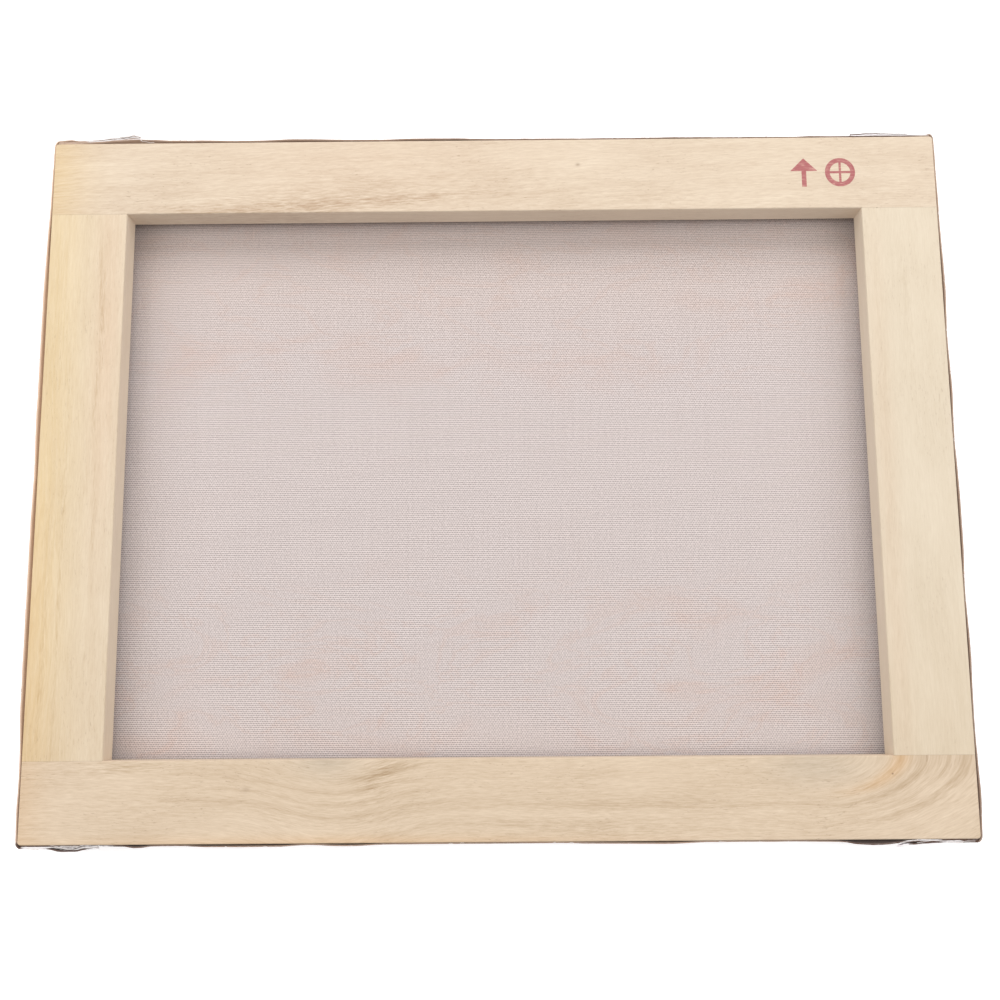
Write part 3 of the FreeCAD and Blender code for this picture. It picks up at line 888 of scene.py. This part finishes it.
def frayed_threads(material):
    """Loose ends and pulled threads along the cut edge, thickest at the corner folds."""
    draw = random.Random(11)
    curve = bpy.data.curves.new("frayed_threads", "CURVE")
    curve.dimensions = "3D"
    curve.bevel_depth = STRAND_RADIUS * MM
    curve.bevel_resolution = 1
    curve.use_fill_caps = True

    def thread(points):
        spline = curve.splines.new("POLY")
        spline.points.add(len(points) - 1)
        for target, point in zip(spline.points, points):
            target.co = (*(Vector(point) * MM), 1.0)

    def strand(side, place, length, drop, spread):
        """A thread that leaves the cut edge at a place and lies loosely along it."""
        heading = draw.choice((-1, 1))
        if abs(place + heading * length) > HALF_LENGTH - CORNER:
            heading = -heading
        bend = draw.uniform(-STRAND_BEND, STRAND_BEND)
        points = []
        for step in range(STRAND_STEPS):
            share = step / (STRAND_STEPS - 1)
            along = place + heading * length * share
            if side in ("top", "bottom"):
                outward = outline(side, along)
            else:
                outward = standoff(side, along)
            away = outward + spread + bend * math.sin(math.pi * share)
            away += WAVER * math.sin(9 * share + place)
            z = CUT_EDGE + STRAND_RISE + drop * share * share + BOB * math.sin(5 * share + place)
            if side in ("top", "bottom"):
                sign = 1 if side == "top" else -1
                points.append((along, sign * (HALF_WIDTH + away), z))
            else:
                sign = 1 if side == "right" else -1
                points.append((sign * (HALF_LENGTH + away), along, z))
        thread(points)

    for side, middle, reach, count, spread in TANGLES:
        for _ in range(count):
            strand(side, middle + draw.uniform(-reach, reach), draw.uniform(*LONG_STRAND),
                   draw.uniform(*LONG_DROP), draw.uniform(*spread))
    for side, reach in (("top", 150), ("bottom", 140), ("left", 150), ("right", 150)):
        for _ in range(SHORT_ENDS):
            strand(side, draw.uniform(-reach, reach), draw.uniform(*SHORT_STRAND),
                   draw.uniform(*SHORT_DROP), SHORT_INSIDE)
    curve.materials.append(material)
    piece = bpy.data.objects.new("frayed_threads", curve)
    bpy.context.scene.collection.objects.link(piece)
    return piece


# ---------------------------------------------------------------- dressing the frame

YELLOW = linear(255, 246, 220)
ORANGE = linear(255, 226, 184)
ROSE = linear(250, 236, 230)
GREY = linear(238, 242, 246)
# painted shade, darker towards the lower ends of the stiles
PAINTED_LOW_SHADE = linear(246, 240, 232)
paint("top_rail", wood(
    "wood_top_rail", "x", (0.0, RAIL_MIDDLE), linear(216, 200, 179), linear(174, 149, 124),
    bands=(9.0, 0.12), lean=0.035,
    smudges=[((-108.0, -16.0), (52.0, 4.2), 0.05, 0.42), ((-40.0, -11.0), (40.0, 2.6), 0.06, 0.3),
             ((-80.0, -8.0), (70.0, 7.0), 0.05, 0.16), ((60.0, -12.0), (50.0, 4.0), 0.0, 0.1)],
    tints=[((-208.0, 0.0), (18.0, 60.0), 0.0, YELLOW, 0.85),
           ((-60.0, 6.0), (70.0, 30.0), 0.0, ROSE, 0.2)],
    knots=[((39.2, 4.9), (1.0, 0.8), 0.45)], flecks=0.4, seed=1.0))
paint("bottom_rail", wood(
    "wood_bottom_rail", "x", (0.0, -RAIL_MIDDLE), linear(215, 196, 173), linear(167, 142, 112),
    bands=(10.0, 0.13), branch=18.5, dips=[(-72.0, 9.0, 30.0)], turn=(141.0, 2.1),
    rings=[(20.0, 2.0, 50.0, 110.0, 0.2, None), (27.0, 1.8, 20.0, 50.0, 0.2, None),
           (20.5, 1.6, 178.0, 24.0, 0.3, None), (15.4, 1.9, 172.0, 20.0, 0.5, ORANGE),
           (15.4, 1.9, 172.0, 20.0, 0.12, None), (25.0, 1.2, 185.0, 30.0, 0.18, None),
           (29.0, 1.5, 190.0, 36.0, 0.25, None), (1.5, 2.2, -50.0, 16.0, 0.26, None),
           (7.0, 1.0, -66.0, 40.0, 0.2, None), (12.0, 1.0, -76.0, 60.0, 0.16, None),
           (17.5, 1.0, -86.0, 60.0, 0.2, None)],
    smudges=[((-160.0, 14.5), (22.0, 2.4), 0.06, 0.3), ((-50.0, 10.0), (8.0, 8.0), 0.5, 0.35),
             ((60.0, -13.0), (60.0, 3.0), 0.0, 0.12)],
    tints=[((-208.0, 0.0), (12.0, 60.0), 0.0, ORANGE, 0.25),
           ((-70.0, -18.0), (110.0, 3.5), 0.0, ORANGE, 0.4),
           ((-74.0, 17.0), (14.0, 7.0), 0.0, GREY, 0.9),
           ((136.0, 13.0), (20.0, 8.0), 0.0, GREY, 0.8)],
    knots=[((-108.0, 5.0), (1.7, 1.2), 0.25), ((169.0, 9.8), (0.35, 0.35), 0.9)],
    flecks=0.4, seed=2.0))
paint("left_stile", wood(
    "wood_left_stile", "y", (STILE_MIDDLE, 0.0), linear(218, 204, 183), linear(182, 159, 130),
    bands=(13.0, 0.13), grain=0.7, flecks=0.25,
    smudges=[((-60.0, -5.0), (80.0, 1.0), 0.0, 0.25), ((-80.0, -11.0), (50.0, 1.2), 0.01, 0.22),
             ((88.0, 7.5), (28.0, 1.1), -0.06, 0.3), ((40.0, 7.0), (30.0, 1.0), 0.05, 0.3),
             ((-20.0, 8.5), (40.0, 0.9), -0.02, 0.2)],
    tints=[((0.0, -19.0), (300.0, 20.0), 0.0, YELLOW, 0.9),
           ((-90.0, -19.0), (90.0, 10.0), 0.0, ORANGE, 0.18),
           ((60.0, 11.0), (90.0, 7.0), 0.0, ROSE, 0.5),
           # painted shade: darker towards the lower end
           ((-150.0, 0.0), (90.0, 90.0), 0.0, PAINTED_LOW_SHADE, 0.6)],
    seed=3.0))
paint("right_stile", wood(
    "wood_right_stile", "y", (-STILE_MIDDLE, 0.0), linear(216, 203, 183), linear(184, 166, 140),
    bands=(15.0, 0.1),
    smudges=[((0.0, -12.0), (120.0, 1.6), 0.0, 0.12), ((70.0, 1.0), (50.0, 1.4), -0.03, 0.14)],
    tints=[((-10.0, -13.0), (140.0, 5.0), 0.0, ROSE, 0.3),
           # painted shade: darker towards the lower end
           ((-150.0, 0.0), (90.0, 90.0), 0.0, PAINTED_LOW_SHADE, 0.6)],
    grain=0.6, flecks=0.22, seed=4.0))
paint("size_stamp", stamped_ink("stamp_ink", linear(164, 98, 98), linear(226, 190, 172)))
wire = staple_wire("staple_wire", linear(196, 196, 192), linear(142, 140, 134))
for row in ("top", "bottom", "left", "right", "corner_folds"):
    paint(f"staples_{row}", wire)

weave = woven("woven_mesh", linear(219, 207, 204), linear(152, 141, 138),
              linear(255, 232, 218), linear(236, 206, 180), linear(94, 70, 60),
              linear(236, 230, 232))
screen = cloth()
paint(screen, weave)
screen.data.materials.append(
    cut_edge("mesh_cut_edge", linear(226, 198, 176), linear(94, 72, 62),
             linear(236, 232, 232)))
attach(screen, "root")
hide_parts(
    "mesh_panel", "mesh_side_top", "mesh_side_bottom", "mesh_side_left",
    "mesh_side_right", "corner_fold_top_left", "corner_fold_top_right",
    "corner_fold_bottom_left", "corner_fold_bottom_right")

frays = frayed_threads(
    thread_end("thread_end", linear(238, 234, 232), linear(206, 196, 190)))
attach(frays, "root")

# ---------------------------------------------------------------- stage, light and camera

FLOOR_REACH = 4.0           # in metres, as are the places and sizes below
FLOOR_WHITE = (0.9, 0.9, 0.9, 1.0)
FLOOR_GLOW = 0.35
WORLD_GLOW = 0.57
WHITE = (1.0, 1.0, 1.0, 1.0)


def pale_floor():
    """A white floor with a little light of its own, wide enough for the view from above."""
    mesh = bpy.data.meshes.new("floor")
    corners = [(-1, -1), (1, -1), (1, 1), (-1, 1)]
    mesh.from_pydata(
        [(x * FLOOR_REACH, y * FLOOR_REACH, 0) for x, y in corners], [], [(0, 1, 2, 3)])
    made = bpy.data.objects.new("floor", mesh)
    bpy.context.scene.collection.objects.link(made)
    mesh.materials.append(Graph("pale_floor").surface(
        FLOOR_WHITE, 0.9, Emission_Color=WHITE, Emission_Strength=FLOOR_GLOW))
    return made


def softbox(name, place, width, height, power):
    """A large soft white lamp at a place, turned to the middle of the frame."""
    lamp = bpy.data.lights.new(name, "AREA")
    lamp.shape = "RECTANGLE"
    lamp.size = width
    lamp.size_y = height
    lamp.energy = power
    holder = bpy.data.objects.new(name, lamp)
    holder.location = place
    middle = Vector((0.0, 0.0, 0.0))
    holder.rotation_euler = (middle - Vector(place)).to_track_quat("-Z", "Y").to_euler()
    bpy.context.scene.collection.objects.link(holder)


floor = pale_floor()
softbox("key_light", (0.0, 1.1, 1.02), width=1.3, height=0.8, power=13.0)
for name, side in (("left_light", -1), ("right_light", 1)):
    softbox(name, (side * 1.15, 0.0, 1.15), width=0.8, height=1.3, power=9.0)

world = bpy.data.worlds.new("studio")
bpy.context.scene.world = world
world.use_nodes = True
background = world.node_tree.nodes["Background"]
background.inputs["Color"].default_value = WHITE
background.inputs["Strength"].default_value = WORLD_GLOW
bpy.context.scene.view_settings.view_transform = "Standard"

CAMERA_PLACE = (0.0036, -0.0972)
CAMERA_OVER_NEAR_FACE = 0.5245
LOOKING = Vector((-0.00340, 0.16103, -0.98694))
RIGHTWARD = Vector((0.99996, -0.00749, -0.00467))
SENSOR_WIDTH = 36.0         # in millimetres, as is the focal length
FOCAL_LENGTH = 43.02
NEAR_CLIP = 0.01


def photographer():
    """A camera that sees the frame as the photograph does, fitted to the frame's corners."""
    camera = bpy.data.cameras.new("camera")
    camera.sensor_width = SENSOR_WIDTH
    camera.lens = FOCAL_LENGTH
    camera.clip_start = NEAR_CLIP
    eye = bpy.data.objects.new("camera", camera)
    eye.location = (*CAMERA_PLACE, NEAR_FACE * MM + CAMERA_OVER_NEAR_FACE)
    rightward = RIGHTWARD.normalized()
    upward = rightward.cross(LOOKING).normalized()
    axes = Matrix((rightward, upward, -LOOKING)).transposed()
    eye.rotation_euler = axes.to_euler()
    bpy.context.scene.collection.objects.link(eye)
    return eye


bpy.context.scene.camera = photographer()
